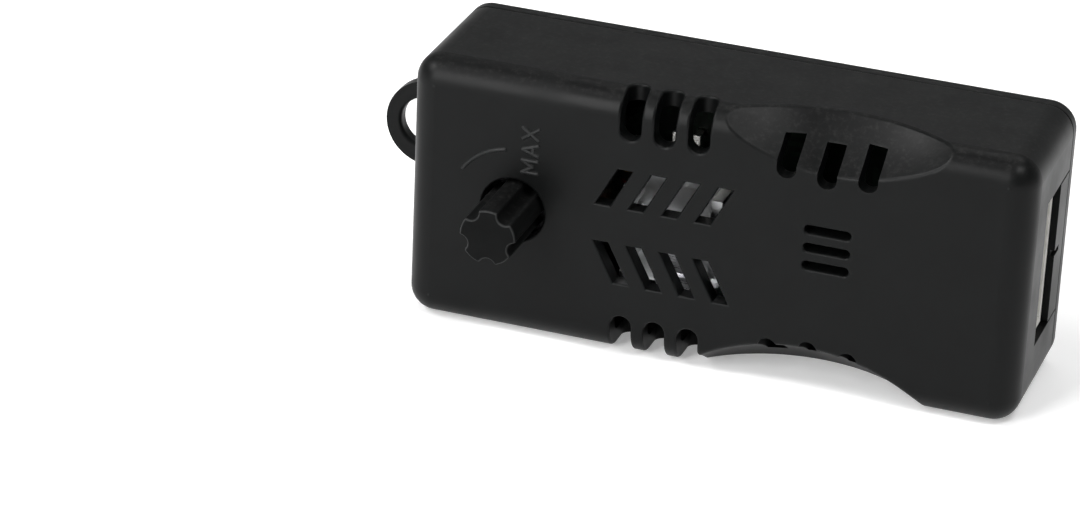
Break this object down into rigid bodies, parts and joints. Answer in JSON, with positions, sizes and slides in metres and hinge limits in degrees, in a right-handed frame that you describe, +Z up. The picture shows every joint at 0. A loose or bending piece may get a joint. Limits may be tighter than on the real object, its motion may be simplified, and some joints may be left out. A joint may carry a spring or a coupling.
{
  "type": "pc fan speed controller",
  "caption": "Black plastic box with a fluted speed knob, vent slots, finger scoops, a hanging loop and a white end socket; sets the speed of PC fans.",
  "frame": {"origin": "centre of the case's base face, midway between the front face and the back face", "axes": "+X along the case towards the socket end, -Y out of the front face with the knob, +Z up"},
  "size_m": [0.0842, 0.0284, 0.033],
  "materials": {
    "case_black": "satin moulded plastic",
    "knob_black": "satin moulded plastic",
    "socket_white": "semi-matte nylon",
    "pin_tin": "bright tin plate",
    "board_green": "glossy solder mask",
    "pot_black": "glossy moulded resin",
    "pot_metal": "nickel plate",
    "wafer_brown": "paper board with a dark track",
    "wiper_brass": "bright spring brass",
    "regulator_black": "matte moulded resin",
    "tab_metal": "tinned copper",
    "pad_grey": "soft silicone",
    "sink_aluminium": "bright pressed aluminium",
    "screw_steel": "zinc plated steel",
    "screw_black": "black oxide",
    "capacitor_sleeve": "glossy shrink sleeve",
    "diode_black": "glossy moulded resin",
    "resistor_tan": "lacquered body"
  },
  "bodies": {
    "case": {"front_shell": "case_black", "back_cover": "case_black", "cover_screws": "screw_black", "circuit_board": "board_green", "board_screws": "screw_steel", "socket_housing": "socket_white", "socket_pins": "pin_tin", "pot_body": "pot_black", "pot_bushing": "pot_metal", "pot_wafer": "wafer_brown", "pot_terminals": "pin_tin", "regulator_body": "regulator_black", "regulator_tab": "tab_metal", "regulator_leads": "pin_tin", "insulating_pad": "pad_grey", "heat_sink": "sink_aluminium", "sink_screw": "screw_steel", "sink_nut": "screw_steel", "input_capacitor": "capacitor_sleeve", "input_capacitor_leads": "pin_tin", "output_capacitor": "capacitor_sleeve", "output_capacitor_leads": "pin_tin", "diode_body": "diode_black", "diode_leads": "pin_tin", "resistor_bodies": "resistor_tan", "resistor_leads": "pin_tin"},
    "knob": {"speed_knob": "knob_black", "pot_shaft": "pot_metal", "pot_wiper": "wiper_brass"}
  },
  "joints": [
    {"name": "knob_turn", "type": "hinge", "parent": "case", "child": "knob", "pos_m": [-0.024, -0.01, 0.01605], "axis": [0, -1, 0], "range_deg": [-140, 140]}
  ]
}
